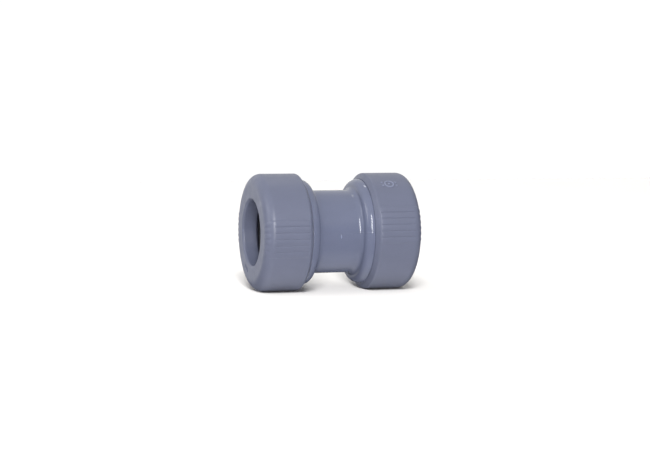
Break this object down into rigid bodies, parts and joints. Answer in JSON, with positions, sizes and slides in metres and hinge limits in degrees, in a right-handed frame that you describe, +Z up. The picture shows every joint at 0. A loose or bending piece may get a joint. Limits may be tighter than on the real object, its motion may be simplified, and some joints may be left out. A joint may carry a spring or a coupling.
{
  "type": "push to connect pipe fitting",
  "caption": "Straight push to connect coupler for plastic or copper water pipe: a waisted body with a screw-on retaining cap, grab wedge, washer and O-ring at each end.",
  "frame": {"origin": "centre of the coupler, on the pipe's axis", "axes": "+X along the pipe towards the right cap, +Z up as the fitting lies on a table; the two sides are the same pieces turned half a turn about Z"},
  "size_m": [0.0552, 0.0404, 0.0398],
  "materials": {
    "body_plastic": "glossy blue-grey moulded polybutylene",
    "cap_plastic": "satin blue-grey moulded plastic",
    "seal_rubber": "black EPDM rubber",
    "washer_nylon": "natural nylon",
    "wedge_acetal": "dark grey acetal",
    "tooth_steel": "stamped stainless steel"
  },
  "bodies": {
    "coupler": {"coupler_body": "body_plastic", "right_o_ring": "seal_rubber", "left_o_ring": "seal_rubber"},
    "right_washer": {"right_spacer_washer": "washer_nylon"},
    "right_retaining_cap": {"right_cap": "cap_plastic"},
    "right_wedge": {"right_grab_wedge": "wedge_acetal", "right_grip_tooth_1": "tooth_steel", "right_grip_tooth_2": "tooth_steel", "right_grip_tooth_3": "tooth_steel", "right_grip_tooth_4": "tooth_steel", "right_grip_tooth_5": "tooth_steel", "right_grip_tooth_6": "tooth_steel", "right_grip_tooth_7": "tooth_steel", "right_grip_tooth_8": "tooth_steel"},
    "left_washer": {"left_spacer_washer": "washer_nylon"},
    "left_retaining_cap": {"left_cap": "cap_plastic"},
    "left_wedge": {"left_grab_wedge": "wedge_acetal", "left_grip_tooth_1": "tooth_steel", "left_grip_tooth_2": "tooth_steel", "left_grip_tooth_3": "tooth_steel", "left_grip_tooth_4": "tooth_steel", "left_grip_tooth_5": "tooth_steel", "left_grip_tooth_6": "tooth_steel", "left_grip_tooth_7": "tooth_steel", "left_grip_tooth_8": "tooth_steel"}
  },
  "joints": [
    {"name": "right_cap_travel", "type": "slide", "parent": "coupler", "child": "right_washer", "axis": [1, 0, 0], "range_m": [0, 0.005]},
    {"name": "right_cap_turn", "type": "hinge", "parent": "right_washer", "child": "right_retaining_cap", "pos_m": [0.018, 0, 0], "axis": [1, 0, 0], "range_deg": [0, 720]},
    {"name": "right_wedge_float", "type": "slide", "parent": "right_washer", "child": "right_wedge", "axis": [1, 0, 0], "range_m": [0, 0.0005]},
    {"name": "left_cap_travel", "type": "slide", "parent": "coupler", "child": "left_washer", "axis": [-1, 0, 0], "range_m": [0, 0.005]},
    {"name": "left_cap_turn", "type": "hinge", "parent": "left_washer", "child": "left_retaining_cap", "pos_m": [-0.018, 0, 0], "axis": [-1, 0, 0], "range_deg": [0, 720]},
    {"name": "left_wedge_float", "type": "slide", "parent": "left_washer", "child": "left_wedge", "axis": [-1, 0, 0], "range_m": [0, 0.0005]}
  ],
  "couplings": [
    {"joint": "right_cap_travel", "follows": "right_cap_turn", "m_per_rad": 0.00039789},
    {"joint": "left_cap_travel", "follows": "left_cap_turn", "m_per_rad": 0.00039789}
  ]
}
